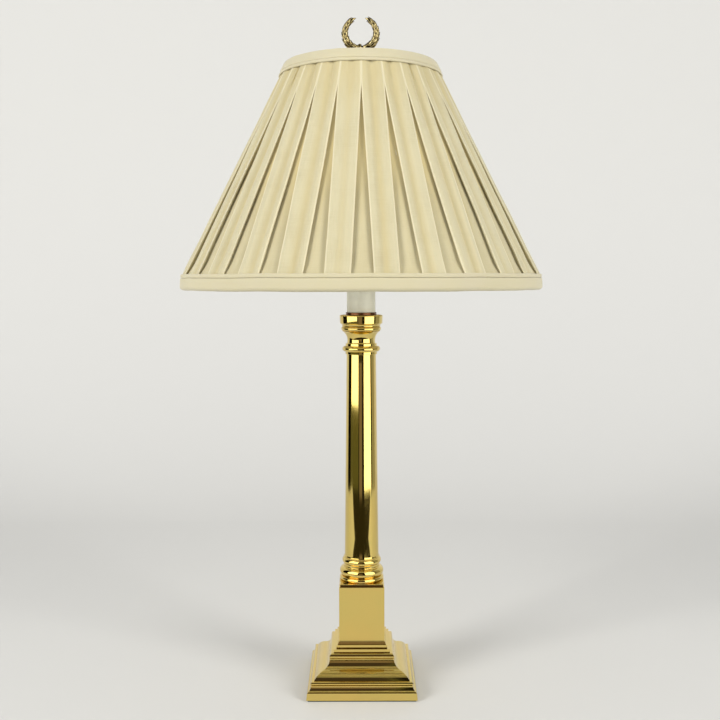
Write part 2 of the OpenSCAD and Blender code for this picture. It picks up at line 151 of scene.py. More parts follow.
def turn_outwards(obj, weld=0.0):
    """Turns the faces outwards, after joining the points that lie closer than weld."""
    bm = bmesh.new()
    bm.from_mesh(obj.data)
    if weld:
        bmesh.ops.remove_doubles(bm, verts=bm.verts, dist=weld)
    bmesh.ops.recalc_face_normals(bm, faces=bm.faces)
    bm.to_mesh(obj.data)
    bm.free()


# -------------------------------------------------------------- materials

# Painted glow standing for daylight that soaks through the thin cloth, where its painted fold shade is
# above SOAK_START.
SOAK = 0.28
SOAK_START = 0.6
# Colour of the painted shade in the cloth's folds; also the colour of its painted glow.
FOLD_SHADE_AND_GLOW_TINT = (0.50, 0.415, 0.205)
# Colour of the painted highlight along the pleats' folded edges.
EDGE_HIGHLIGHT_TINT = (0.67, 0.61, 0.42)
BRASS = (0.75, 0.588, 0.175)
BRASS_DEEP = (0.80, 0.58, 0.17)
CREAM = (0.54, 0.492, 0.322)
CREAM_LIGHT = (0.545, 0.495, 0.348)
CREAM_DEEP = (0.475, 0.425, 0.268)
LINING = (0.86, 0.83, 0.72)


def principled(name, color, roughness, metallic=0.0):
    """A new material; returns it with its node tree and its shader."""
    mat = bpy.data.materials.new(name)
    mat.use_nodes = True
    tree = mat.node_tree
    shader = tree.nodes["Principled BSDF"]
    shader.inputs["Base Color"].default_value = (*color, 1)
    shader.inputs["Roughness"].default_value = roughness
    shader.inputs["Metallic"].default_value = metallic
    return mat, tree, shader


def node(tree, kind, **inputs):
    """A new shader node with some of its inputs set."""
    n = tree.nodes.new("ShaderNode" + kind)
    for key, value in inputs.items():
        n.inputs[key].default_value = value
    return n


def coords(tree, scale=(1, 1, 1)):
    """Object coordinates, scaled."""
    tex = tree.nodes.new("ShaderNodeTexCoord")
    mapping = tree.nodes.new("ShaderNodeMapping")
    mapping.inputs["Scale"].default_value = scale
    tree.links.new(tex.outputs["Object"], mapping.inputs["Vector"])
    return mapping.outputs["Vector"]


def ramp(tree, source, stops):
    """A colour ramp over source; stops are (position, colour)."""
    r = tree.nodes.new("ShaderNodeValToRGB")
    while len(r.color_ramp.elements) < len(stops):
        r.color_ramp.elements.new(0.5)
    for e, (pos, col) in zip(r.color_ramp.elements, stops):
        e.position = pos
        e.color = (*col, 1)
    tree.links.new(source, r.inputs["Fac"])
    return r.outputs["Color"]


def span(tree, source, lo, hi, start=0.0):
    """Maps start..1 of source to lo..hi."""
    m = tree.nodes.new("ShaderNodeMapRange")
    m.inputs["From Min"].default_value = start
    m.inputs["To Min"].default_value = lo
    m.inputs["To Max"].default_value = hi
    tree.links.new(source, m.inputs["Value"])
    return m.outputs["Result"]


def bump(tree, shader, height, strength, distance):
    """Roughens a shader's surface by a height."""
    b = tree.nodes.new("ShaderNodeBump")
    b.inputs["Strength"].default_value = strength
    b.inputs["Distance"].default_value = distance
    tree.links.new(height, b.inputs["Height"])
    tree.links.new(b.outputs["Normal"], shader.inputs["Normal"])


def mesh_value(tree, name):
    """A value that the mesh holds for each vertex."""
    where = tree.nodes.new("ShaderNodeAttribute")
    where.attribute_name = name
    return where.outputs["Fac"]


def polished_brass(name="polished_brass", turned=True):
    """Lacquered polished brass: faint buffing lines, a little haze and warm colour drift."""
    mat, tree, shader = principled(name, BRASS, 0.06, 1.0)
    where = coords(tree)
    drift = node(tree, "TexNoise", Scale=22.0, Detail=3.0)
    tree.links.new(where, drift.inputs["Vector"])
    colour = ramp(tree, drift.outputs["Fac"], [(0.3, BRASS_DEEP), (0.7, BRASS)])
    tree.links.new(colour, shader.inputs["Base Color"])
    lines = node(tree, "TexNoise", Scale=1.0, Detail=4.0)
    fine = (160, 160, 5200) if turned else (900, 900, 900)
    tree.links.new(coords(tree, fine), lines.inputs["Vector"])
    tree.links.new(span(tree, lines.outputs["Fac"], 0.035, 0.10), shader.inputs["Roughness"])
    bump(tree, shader, lines.outputs["Fac"], 0.04, 0.00004)
    shader.inputs["Coat Weight"].default_value = 0.25
    shader.inputs["Coat Roughness"].default_value = 0.03
    return mat


def antique_brass():
    """Cast brass: patina and painted shade make it dark in recesses and under leaves; rubbed bright on
    high places.
    """
    mat, tree, shader = principled("antique_brass", BRASS_DEEP, 0.25, 1.0)
    grain = node(tree, "TexNoise", Scale=420.0, Detail=4.0)
    tree.links.new(coords(tree), grain.inputs["Vector"])
    mix = node(tree, "Math")
    mix.operation = "ADD"
    tree.links.new(mesh_value(tree, "relief_and_shade"), mix.inputs[0])
    tree.links.new(span(tree, grain.outputs["Fac"], -0.25, 0.25), mix.inputs[1])
    # Ramp from near-black patina and painted shade, through dark brown, to rubbed bright brass.
    stops = [(0.30, (0.012, 0.007, 0.003)), (0.74, (0.13, 0.085, 0.024)), (1.0, (0.85, 0.73, 0.40))]
    tree.links.new(ramp(tree, mix.outputs[0], stops), shader.inputs["Base Color"])
    tree.links.new(span(tree, grain.outputs["Fac"], 0.08, 0.24), shader.inputs["Roughness"])
    bump(tree, shader, grain.outputs["Fac"], 0.15, 0.0001)
    return mat


def woven_threads(tree, weave):
    """Warp and weft: two crossed stretched noises, summed, that follow the flat cloth."""
    uv = tree.nodes.new("ShaderNodeUVMap")
    uv.uv_map = "thread"
    both = tree.nodes.new("ShaderNodeMath")
    both.operation = "ADD"
    along = weave * 0.04
    for i, axis_scale in enumerate([(weave, along, 1), (along, weave, 1)]):
        m = tree.nodes.new("ShaderNodeMapping")
        m.inputs["Scale"].default_value = axis_scale
        tree.links.new(uv.outputs["UV"], m.inputs["Vector"])
        n = node(tree, "TexNoise", Scale=1.0, Detail=2.0)
        tree.links.new(m.outputs["Vector"], n.inputs["Vector"])
        tree.links.new(n.outputs["Fac"], both.inputs[i])
    return both.outputs[0]


def tinted(tree, colour, amount, tint):
    """Colour turning to a tint as amount goes from 0 to 1."""
    mix = tree.nodes.new("ShaderNodeMix")
    mix.data_type = "RGBA"
    mix.inputs["B"].default_value = (*tint, 1)
    tree.links.new(amount, mix.inputs["Factor"])
    tree.links.new(colour, mix.inputs["A"])
    return mix.outputs["Result"]


def cloth(name, light, deep, weave=1400.0, slubs=0.5):
    """Fine plain-woven cloth with faint slubs, mottled colour and a soft sheen."""
    mat, tree, shader = principled(name, light, 0.72)
    shader.inputs["Sheen Weight"].default_value = 0.25
    shader.inputs["Sheen Roughness"].default_value = 0.45
    shader.inputs["Specular IOR Level"].default_value = 0.25
    shader.inputs["Subsurface Weight"].default_value = 0.12
    shader.inputs["Subsurface Radius"].default_value = (1.0, 0.8, 0.5)
    shader.inputs["Subsurface Scale"].default_value = 0.0012
    threads = woven_threads(tree, weave)
    mottle = node(tree, "TexNoise", Scale=34.0, Detail=5.0, Roughness=0.6)
    tree.links.new(coords(tree), mottle.inputs["Vector"])
    total = tree.nodes.new("ShaderNodeMath")
    total.operation = "MULTIPLY_ADD"
    total.inputs[1].default_value = 0.5 * slubs
    tree.links.new(threads, total.inputs[0])
    tree.links.new(mottle.outputs["Fac"], total.inputs[2])
    colour = ramp(tree, total.outputs[0], [(0.55, deep), (1.15, light)])
    # Painted shade: the fold value darkens the cloth in the pleat gaps, the face valleys and near the sewn
    # top.
    fold = mesh_value(tree, "fold")
    colour = tinted(tree, colour, fold, FOLD_SHADE_AND_GLOW_TINT)
    # Painted highlight: the edge value lightens the cloth along the pleats' folded edges.
    colour = tinted(tree, colour, mesh_value(tree, "edge"), EDGE_HIGHLIGHT_TINT)
    tree.links.new(colour, shader.inputs["Base Color"])
    # Painted glow in the deepest folds, standing for daylight soaking through the cloth.
    shader.inputs["Emission Color"].default_value = (*FOLD_SHADE_AND_GLOW_TINT, 1)
    tree.links.new(span(tree, fold, 0.0, SOAK, start=SOAK_START), shader.inputs["Emission Strength"])
    bump(tree, shader, threads, 0.35, 0.00012)
    return mat


def plain(name, color, roughness, metallic=0.0, grain=300.0, depth=0.0001):
    """A material with fine grain in its colour, roughness and surface."""
    mat, tree, shader = principled(name, color, roughness, metallic)
    n = node(tree, "TexNoise", Scale=grain, Detail=4.0)
    tree.links.new(coords(tree), n.inputs["Vector"])
    dark = tuple(c * 0.86 for c in color)
    tint = ramp(tree, n.outputs["Fac"], [(0.3, dark), (0.7, color)])
    tree.links.new(tint, shader.inputs["Base Color"])
    gloss = span(tree, n.outputs["Fac"], roughness * 0.85, roughness * 1.15)
    tree.links.new(gloss, shader.inputs["Roughness"])
    bump(tree, shader, n.outputs["Fac"], 0.2, depth)
    return mat


def frosted_glass():
    """The bulb's thin white glass, frosted inside."""
    mat, tree, shader = principled("frosted_glass", (0.95, 0.94, 0.90), 0.35)
    shader.inputs["Transmission Weight"].default_value = 0.55
    shader.inputs["IOR"].default_value = 1.45
    n = node(tree, "TexNoise", Scale=500.0, Detail=2.0)
    tree.links.new(coords(tree), n.inputs["Vector"])
    tree.links.new(span(tree, n.outputs["Fac"], 0.30, 0.42), shader.inputs["Roughness"])
    bump(tree, shader, n.outputs["Fac"], 0.1, 0.00005)
    return mat


MAT_BRASS = polished_brass()
MAT_BRASS_FLAT = polished_brass("polished_brass_flat", turned=False)
MAT_ANTIQUE = antique_brass()
MAT_CLOTH = cloth("cream_cloth", CREAM, CREAM_DEEP, slubs=0.9)
MAT_TRIM = cloth("cream_trim", CREAM_LIGHT, CREAM, weave=1600.0)
MAT_LINING = cloth("white_lining", LINING, (0.80, 0.77, 0.66), weave=2000.0, slubs=0.3)
# Dark red-brown metal for the collar round the sleeve, far darker than the cup.
MAT_COLLAR = plain("dark_red_brown_collar", (0.17, 0.075, 0.038), 0.25, 1.0, grain=300.0, depth=0.00003)
# Near-black brass for the cap's groove: partly tarnish, partly painted shade in the recess.
MAT_TARNISH_AND_SHADE = plain("tarnish_and_shade_brass", (0.10, 0.055, 0.015), 0.35, 1.0, grain=700.0, depth=0.00005)
MAT_SLEEVE = plain("sleeve_white", (0.97, 0.955, 0.80), 0.45, grain=60.0, depth=0.00005)
MAT_FELT = plain("green_felt", (0.035, 0.06, 0.035), 0.95, grain=900.0, depth=0.0005)
MAT_STEEL = plain("zinc_steel", (0.55, 0.56, 0.58), 0.30, 1.0, grain=500.0)
MAT_IRON = plain("cast_iron", (0.05, 0.045, 0.04), 0.7, 0.6, grain=240.0, depth=0.0004)
MAT_PHENOLIC = plain("phenolic", (0.020, 0.014, 0.012), 0.25, grain=200.0, depth=0.00002)
MAT_BUSHING = plain("bushing", (0.03, 0.025, 0.02), 0.5, grain=300.0, depth=0.00004)
MAT_BOARD = plain("cardboard", (0.42, 0.30, 0.17), 0.85, grain=260.0, depth=0.0002)
MAT_WIRE = plain("white_wire", (0.78, 0.75, 0.68), 0.35, grain=200.0, depth=0.00004)
MAT_BULB_METAL = plain("bulb_metal", (0.72, 0.72, 0.70), 0.28, 1.0, grain=400.0, depth=0.00003)
MAT_GLASS = frosted_glass()

NODE_MATERIALS = {
    MAT_FELT: ["felt_pad"],
    MAT_IRON: ["base_weight"],
    MAT_BUSHING: ["cord_bushing"],
    MAT_SLEEVE: ["candle_sleeve"],
    MAT_STEEL: ["threaded_rod", "rod_nuts", "rod_washers", "terminal_screws"],
    MAT_BOARD: ["socket_insulator"],
    MAT_PHENOLIC: ["socket_body", "switch_knob", "bulb_insulator"],
    MAT_BRASS: [
        "column_base", "column_shaft", "capital", "candle_cup", "sleeve_collar", "sleeve_cap",
        "socket_cap", "socket_shell", "screw_shell", "centre_contact", "switch_stem",
        "harp_wire", "harp_stud", "ferrule_left", "ferrule_right", "fitter_washer", "finial_base",
    ],
    MAT_BRASS_FLAT: ["base_plinth", "pedestal_block", "cap_plate", "harp_saddle"],
    MAT_GLASS: ["bulb_glass"],
    MAT_BULB_METAL: ["bulb_cap", "bulb_contact", "bulb_filament"],
    MAT_CLOTH: ["shade_cover"],
    MAT_TRIM: ["top_trim", "top_piping", "bottom_trim", "bottom_piping"],
    MAT_LINING: ["shade_lining"],
    MAT_WIRE: ["top_ring", "bottom_ring", "ribs", "spider_arms"],
    MAT_ANTIQUE: ["finial_wreath", "finial_ribbon"],
}


def paint_nodes():
    """Gives every piece of the frame its material."""
    for mat, names in NODE_MATERIALS.items():
        for name in names:
            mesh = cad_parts[name].data
            mesh.materials.clear()
            mesh.materials.append(mat)


paint_nodes()


# ----------------------------------------------------------------- camera

CAMERA_PLACE = (0.0, -1.060, 0.4526)
CAMERA_PITCH = 2.0
CAMERA_ROLL = 0.12
CAMERA_LENS = 47.5
CAMERA_SHIFT = (-0.0015, -0.067)


def make_camera():
    """A view from the front, about a metre away and tipped down a little."""
    data = bpy.data.cameras.new("camera")
    data.sensor_width = 36.0
    data.lens = CAMERA_LENS
    data.shift_x, data.shift_y = CAMERA_SHIFT
    camera = bpy.data.objects.new("camera", data)
    bpy.context.collection.objects.link(camera)
    camera.location = CAMERA_PLACE
    camera.rotation_euler = (math.radians(90 - CAMERA_PITCH), math.radians(CAMERA_ROLL), 0)
    bpy.context.scene.camera = camera


make_camera()


# ------------------------------------------------------------ brass stand

# Radii and heights here are in mm, from the felt up.
BORE_R = 5.2
FELT_TOP = 1.6
PLINTH_TOP = 52.7
BLOCK_TOP = 112.6
GROOVE_TOP = 115.0
PLATE_TOP = 115.8
RINGS_TOP = 141.9
SHAFT_TOP = 368.6
CAPITAL_TOP = 399.5
CUP_FLOOR = 408.3
CUP_RIM = 412.0
SHAFT_LOW_R, SHAFT_HIGH_R = 19.1, 16.5
OUTLET_Z = 5.6
OUTLET_HOLE_R = 3.56
OUTLET_FLANGE_R = 3.99
ARRIS_ANGLE = math.radians(22)


def edge_bevel(obj, width):
    """Softens the arrises of a square piece, so that they catch the light."""
    m = obj.modifiers.new("arris", "BEVEL")
    m.width = width
    m.segments = 2
    m.limit_method = "ANGLE"
    m.angle_limit = ARRIS_ANGLE
    m.harden_normals = True
    m.use_clamp_overlap = True


def cut_outlet(obj, radius, y0, y1):
    """Cuts a round hole, in mm, for the cord bushing into the back of the foot."""
    bpy.ops.mesh.primitive_cylinder_add(vertices=48, radius=radius * MM, depth=(y1 - y0) * MM)
    cutter = bpy.context.object
    cutter.rotation_euler = (math.pi / 2, 0, 0)
    cutter.location = (0, (y0 + y1) / 2 * MM, OUTLET_Z * MM)
    m = obj.modifiers.new("hole", "BOOLEAN")
    m.operation = "DIFFERENCE"
    m.object = cutter
    m.solver = "EXACT"
    graph = bpy.context.evaluated_depsgraph_get()
    mesh = bpy.data.meshes.new_from_object(obj.evaluated_get(graph))
    obj.modifiers.clear()
    obj.data = mesh
    bpy.data.objects.remove(cutter)


def tarnish_and_shade_groove(obj):
    """The narrow groove under the cap, painted near-black: tarnish where polish never reaches, and painted
    shade in the recess.
    """
    obj.data.materials.append(MAT_TARNISH_AND_SHADE)
    for poly in obj.data.polygons:
        upright = abs(poly.normal.z) < 0.3
        outside = poly.center.xy.length > 20 * MM
        if upright and outside and poly.center.z < GROOVE_TOP * MM:
            poly.material_index = 1


def plinth_profile():
    """Half width and height along the stepped mouldings, from the felt up, then back down inside."""
    outer = [(59.7, FELT_TOP), (58.8, 9.0), (58.2, 9.7), (57.7, 9.7)]
    outer += arc(61.2, 15.3, 6.4, 238, 181, 8)
    outer += arc(53.2, 17.4, 1.9, -76, 90, 9) + [(52.1, 19.3), (51.8, 19.3)]
    outer += arc(36.5, 10.05, 17.9, 31.2, 73.4, 14)
    outer += arc(45.07, 36.5, 9.94, 249.3, 185.8, 12) + [(34.4, 35.5)]
    outer += arc(31.8, 38.95, 3.45, -40, 90, 14) + [(30.8, 42.4), (30.8, 45.8), (27.9, 45.8), (27.9, 49.4)]
    outer += [(26.6, 49.4), (25.7, 51.5), (25.6, PLINTH_TOP), (BORE_R, PLINTH_TOP)]
    inner = [(BORE_R, 42.0), (28.0, 42.0), (28.0, 25.5), (30.0, 25.5), (30.0, 18.0)]
    inner += [(48.6, 18.0), (48.6, 9.4), (55.2, 9.4), (55.2, FELT_TOP)]
    return outer + inner + outer[:1]


def make_foot():
    """The stepped plinth with its cord outlet, the square block and the square cap."""
    plinth = square_lathe("stepped_plinth", plinth_profile(), MAT_BRASS_FLAT, "stand")
    cut_outlet(plinth, OUTLET_HOLE_R, 48, 62)
    cut_outlet(plinth, OUTLET_FLANGE_R, 57, 62)
    edge_bevel(plinth, 0.25 * MM)
    wall = [(25, PLINTH_TOP), (25, BLOCK_TOP), (22.8, BLOCK_TOP), (22.8, PLINTH_TOP), (25, PLINTH_TOP)]
    block = square_lathe("square_block", wall, MAT_BRASS_FLAT, "stand")
    edge_bevel(block, 0.5 * MM)
    plate = [(23.6, BLOCK_TOP), (23.6, GROOVE_TOP), (24.2, GROOVE_TOP), (24.2, PLATE_TOP)]
    plate += [(BORE_R, PLATE_TOP), (BORE_R, BLOCK_TOP), (23.6, BLOCK_TOP)]
    cap = square_lathe("square_cap", plate, MAT_BRASS_FLAT, "stand")
    tarnish_and_shade_groove(cap)
    edge_bevel(cap, 0.25 * MM)
    return {"base_plinth": plinth, "pedestal_block": block, "cap_plate": cap}


def make_column():
    """The turned rings, the tapered shaft and the capital."""
    rings = [(BORE_R, PLATE_TOP), (22.1, PLATE_TOP)] + arc(22.1, 118.2, 2.4, -90, 88, 14)
    rings += [(21.2, 120.6)] + arc(19.7, 125.4, 4.8, -72, 78, 22) + [(20.5, 130.2), (20.5, 131.4)]
    rings += [(19.3, 131.4), (19.3, 133.2)] + arc(18.0, 137.1, 3.8, -70, 66, 18)
    rings += [(20.0, 140.7), (20.0, RINGS_TOP), (BORE_R, RINGS_TOP), (BORE_R, PLATE_TOP)]

    shaft = [(17.5, RINGS_TOP), (19.6, RINGS_TOP), (19.25, 142.5), (SHAFT_LOW_R, 143.5)]
    rise = SHAFT_TOP - RINGS_TOP
    shaft += [(lerp(SHAFT_LOW_R, SHAFT_HIGH_R, (z - RINGS_TOP) / rise), z) for z in range(165, 365, 20)]
    shaft += [(SHAFT_HIGH_R, SHAFT_TOP), (14.9, SHAFT_TOP), (17.5, RINGS_TOP)]

    cap = [(BORE_R, SHAFT_TOP), (17.8, SHAFT_TOP), (17.8, 371.4)] + arc(17.9, 374.6, 3.3, -90, 90, 16)
    cap += [(17.6, 377.9), (17.6, 380.6)] + arc(27.6, 384.0, 12.0, 196.5, 120.1, 18)
    cap += [(21.4, 394.4)] + arc(19.7, 397.0, 2.7, -74, 68, 10)
    cap += [(BORE_R, CAPITAL_TOP), (BORE_R, SHAFT_TOP)]
    return {
        "column_base": lathe("turned_rings", rounded(rings, 0.25), MAT_BRASS, "stand"),
        "column_shaft": lathe("tapered_shaft", rounded(shaft, 0.2), MAT_BRASS, "stand", 160),
        "capital": lathe("turned_capital", rounded(cap, 0.25), MAT_BRASS, "stand"),
    }


def make_candle():
    """The flared cup with its collar and the white sleeve."""
    cup = [(BORE_R, CAPITAL_TOP), (21.4, CAPITAL_TOP), (21.5, 400.5), (21.8, 401.3), (22.4, 402.0)]
    cup += [(23.8, 402.9), (24.2, 411.0), (23.9, CUP_RIM), (23.3, CUP_RIM), (22.4, 411.1)]
    cup += [(17.3, 411.1), (17.3, 411.9), (15.96, 411.9), (15.96, CUP_FLOOR)]
    cup += [(BORE_R, CUP_FLOOR), (BORE_R, CAPITAL_TOP)]
    collar = [(15.93, CUP_RIM), (17.18, CUP_RIM), (17.18, 414.4)] + arc(16.4, 414.4, 0.78, 0, 90, 6)
    collar += [(15.93, 415.18), (15.93, CUP_RIM)]
    sleeve = [(14.5, CUP_FLOOR), (15.88, CUP_FLOOR), (15.88, 470.0), (14.5, 470.0), (14.5, CUP_FLOOR)]
    return {
        "candle_cup": lathe("turned_cup", rounded(cup, 0.4), MAT_BRASS, "stand"),
        "sleeve_collar": lathe("turned_collar", rounded(collar, 0.2), MAT_COLLAR, "stand"),
        "candle_sleeve": lathe("white_sleeve", rounded(sleeve, 0.3), MAT_SLEEVE, "stand"),
    }


for node_name, piece in {**make_foot(), **make_column(), **make_candle()}.items():
    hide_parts(node_name)


# ------------------------------------------------------------------ shade
# Lengths here are in mm. A pleat has a face, and a gap on each side of it that it shares with its
# neighbours; t runs from 0 at the top of the cover to 1 at its hem.

PLEATS = 27
COVER_TOP_R, COVER_TOP_Z = 83.0, 686.5
COVER_LOW_R, COVER_LOW_Z = 195.8, 458.0
COVER_END_R, COVER_END_Z = 196.7, 446.1
PLEAT_CLOTH = 53.0
PLEAT_RETURNS = 6.5
FACE_WIDTH = 23.1
MIN_GAP = 0.4
SHALLOW_GAP = 3.0
DEEP_GAP = 4.8
VALLEY_DEPTH = 2.8
VALLEY_WIDTH = 0.17
COVER_ROWS = 96
SEWN_TOP_Z = 686.0
SEWN_HEM_Z = COVER_END_Z + 3
FRONT_GAP_TURN = math.radians(0.3)
RIBS = 12
RING_TOP_R = 81.0
RING_TOP_Z = 684.3
RIB_SLOPE = 0.4677


def cover_radius(z):
    """Outer radius of the pleats at a height, in mm."""
    if z >= COVER_LOW_Z:
        return lerp(COVER_TOP_R, COVER_LOW_R, (COVER_TOP_Z - z) / (COVER_TOP_Z - COVER_LOW_Z))
    return lerp(COVER_LOW_R, COVER_END_R - 1.6, (COVER_LOW_Z - z) / (COVER_LOW_Z - COVER_END_Z))


def frame_radius(z):
    """Radius of the upright wires' middle at a height, in mm."""
    return RING_TOP_R + (RING_TOP_Z - z) * RIB_SLOPE


def rib_chord(a):
    """How far in cloth lies when stretched between two upright wires, as a factor of their radius."""
    step = TAU / RIBS
    middle = abs((a % step) - step / 2)
    return math.cos(step / 2) / math.cos(step / 2 - middle)


def pleat_section(pitch, face):
    """From the middle of one gap to the middle of the next: list of (distance, layer, edge).

    The layer is 0 for the face of the pleat and 1 for the floor of the gap, which runs on
    behind the face; edge is a painted highlight, 1 on the folded edge of the face.
    """
    gap = pitch - face
    tuck = (PLEAT_CLOTH - pitch) / 4
    half = [(lerp(0, gap / 2 + tuck, k / 8), 1.0, 0) for k in range(9)]
    half += [(gap / 2 + tuck + 0.25, 0.80, 0), (gap / 2 + tuck, 0.60, 0)]
    half += [(lerp(gap / 2 + tuck, gap / 2, k / 3), 0.55, 0) for k in (1, 2)]
    half += [(gap / 2 + 0.05, 0.48, 0), (gap / 2 - 0.3, 0.26, 0.5), (gap / 2 - 0.25, 0.06, 1)]
    half += [(gap / 2 + 0.2, 0.0, 1), (gap / 2 + 0.9, 0.0, 0.4)]
    start, end = gap / 2 + 1.6, pitch - gap / 2 - 1.6
    front = [(lerp(start, end, k / 15), 0.0, 0) for k in range(16)]
    return half + front + [(pitch - s, d, e) for s, d, e in reversed(half[1:])]


def ring_noise(turns, scale, z, seed):
    """Noise that closes on itself round the shade."""
    return noise.noise(Vector((scale * math.cos(TAU * turns), scale * math.sin(TAU * turns) + seed, z)))


def pleat_habits():
    """How each pleat differs from the next."""
    rng = random.Random(11)
    return [
        SimpleNamespace(
            wide=rng.uniform(-1, 1),
            lean=rng.uniform(-1, 1),
            dish=rng.uniform(0.6, 1.2),
            valley=rng.uniform(0.40, 0.60),
            phase=rng.uniform(0, TAU),
            second=rng.uniform(0.0, 1.0),
            bulge=rng.uniform(0.4, 1.0),
        )
        for _ in range(PLEATS)
    ]


def cover_level(t):
    """What stays the same all the way round the cover at one height."""
    z = lerp(COVER_TOP_Z - 0.8, COVER_END_Z, t)
    r = cover_radius(z)
    pitch = TAU * r / PLEATS
    return SimpleNamespace(
        t=t,
        z=z,
        r=r,
        pitch=pitch,
        face=min(pitch - MIN_GAP, FACE_WIDTH + 0.9 * t),
        top=smooth((SEWN_TOP_Z - z) / 30),
        hem=smooth((z - SEWN_HEM_Z) / 22),
        sewn=lerp(0.5, 2.4, smooth((z - SEWN_HEM_Z) / 14)),
        taut=smooth(min(t * 6, (1 - t) * 7)),
    )


def gap_depth(level, a, from_middle, gap, bulge):
    """How far behind the faces the cloth lies in a gap; near the hem it bulges forward again."""
    wires = (frame_radius(level.z) + 1.25) * lerp(1, rib_chord(a - math.pi / 2), 0.75 * level.taut)
    depth = min(max(level.r - wires, SHALLOW_GAP), DEEP_GAP)
    depth = lerp(level.sewn, depth, level.top * level.hem)
    if gap > 2 and from_middle < gap / 2:
        middle = math.cos(math.pi * from_middle / gap)
        depth -= 2.4 * bulge * middle ** 2 * smooth(level.t * 2.2 - 1.0) * level.hem
    return depth


def face_shape(level, habit, across):
    """How far out a pleat's face stands, and how much painted shade it gets."""
    dish = math.exp(-(((across - habit.valley) / VALLEY_WIDTH) ** 2)) * habit.dish
    ripple = math.sin(TAU * (2.3 + habit.second) * across + habit.phase + 1.5 * level.t)
    out = -VALLEY_DEPTH * dish * (0.4 + 0.6 * level.top) * (0.35 + 0.65 * level.hem)
    out += 0.5 * habit.second * ripple * smooth(level.t * 2 - 0.5)
    # Painted shade in the face's soft valley and, more strongly, towards the sewn top.
    fold = 0.5 * dish * level.top + 0.6 * (1 - smooth((SEWN_TOP_Z - level.z) / 85))
    return out, min(fold, 0.6)


def puckers(level, turns):
    """Small unevenness of the cloth, finer and stronger near its sewn ends."""
    low = 1.5 * ring_noise(turns, 30, level.z / 60, 2.0) * smooth((498 - level.z) / 42)
    high = 0.8 * ring_noise(turns, 26, level.z / 50, 8.0) * smooth((level.z - 640) / 40)
    middle = 0.5 * ring_noise(turns, 9, level.z / 45, 5.0)
    return low * level.hem + high * level.top + middle * level.top * level.hem


def pleat_points(level, k, habits):
    """One pleat at one height: list of (point, painted fold shade, painted edge highlight)."""
    habit, after = habits[k], habits[(k + 1) % PLEATS]
    spread = 2.0 * habit.wide * smooth((level.t - 0.1) * 2)
    face = min(level.face + spread, level.pitch - MIN_GAP)
    gap = level.pitch - face
    points = []
    for s, layer, edge in pleat_section(level.pitch, face):
        u = s / level.pitch
        lean = 1.5 * lerp(habit.lean, after.lean, u) * smooth(level.t * 1.2) * level.hem
        a = FRONT_GAP_TURN + (k * level.pitch + s + lean) / level.r
        if layer == 0:
            across = min(max((s - gap / 2) / face, 0.0), 1.0)
            out, fold = face_shape(level, habit, across)
        else:
            bulge = habit.bulge if u < 0.5 else after.bulge
            out = -layer * gap_depth(level, a, min(s, level.pitch - s), gap, bulge)
            # Painted shade deep in the gaps, fainter where the gaps open wide near the hem.
            fold = smooth((layer - 0.3) / 0.5) * lerp(1.0, 0.25, smooth((gap - 6) / 13))
        out += puckers(level, (k + u) / PLEATS)
        r = (level.r + min(out, 0.5)) * MM
        point = (r * math.sin(a), -r * math.cos(a), level.z * MM)
        points.append((point, fold, 0.9 * edge))
    return points


def make_cover():
    """The box-pleated cloth, with the length of its slant in metres."""
    habits = pleat_habits()
    levels = [cover_level(i / (COVER_ROWS - 1)) for i in range(COVER_ROWS)]
    slants = [0.0]
    for above, below in zip(levels, levels[1:]):
        slants.append(slants[-1] + math.hypot(below.r - above.r, below.z - above.z))
    points = [p for level in levels for k in range(PLEATS) for p in pleat_points(level, k, habits)]
    verts, folds, edge_highlights = zip(*points)
    cols = len(points) // COVER_ROWS
    obj = new_object("pleated_cover", verts, grid_faces(COVER_ROWS, cols), MAT_CLOTH, "shade")
    obj.data.flip_normals()
    # Painted shade and painted edge highlight, as values that the cloth material reads.
    add_values(obj, "fold", folds)
    add_values(obj, "edge", edge_highlights)
    cloth_width = PLEATS * (PLEAT_CLOTH + PLEAT_RETURNS) * MM
    add_thread_map(obj, COVER_ROWS, cols, cloth_width, [v * MM for v in slants])
    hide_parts("shade_cover")
    return obj, slants[-1] * MM


def add_thread_map(obj, rows, cols, width, heights):
    """A UV map in metres of cloth: across the columns and down the rows."""
    mesh = obj.data
    layer = mesh.uv_layers.new(name="thread")
    for poly in mesh.polygons:
        columns = [v % cols for v in poly.vertices]
        wraps = max(columns) - min(columns) > cols / 2
        for loop, v, c in zip(poly.loop_indices, poly.vertices, columns):
            column = c + cols if wraps and c < cols / 2 else c
            row = min(v // cols, len(heights) - 1)
            layer.data[loop].uv = (column / cols * width, heights[row])


def cloth_band(name, profile, radius, node_name, waves, seed):
    """A cloth-covered band round the shade, a little wavy, from a closed profile in mm."""
    segments = 288
    verts, lengths, total = [], [], 0.0
    for i, (r, z) in enumerate(profile):
        if i:
            total += math.hypot(r - profile[i - 1][0], z - profile[i - 1][1])
        lengths.append(total * MM)
        for j in range(segments):
            a = TAU * j / segments
            rib = abs(math.sin(RIBS / 2 * a))
            lift = waves * (noise.noise(Vector((6 * math.cos(a), 6 * math.sin(a), seed))) - 0.5 * rib)
            sway = 0.7 * waves * noise.noise(Vector((4 * math.cos(a), 4 * math.sin(a), seed + 5)))
            rr = (r + sway) * MM
            verts.append((rr * math.cos(a), rr * math.sin(a), (z + lift) * MM))
    obj = new_object(name, verts, grid_faces(len(profile), segments, wrap_rows=True), MAT_TRIM, "shade")
    add_thread_map(obj, len(profile), segments, TAU * radius * MM, lengths)
    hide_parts(node_name)
    return obj


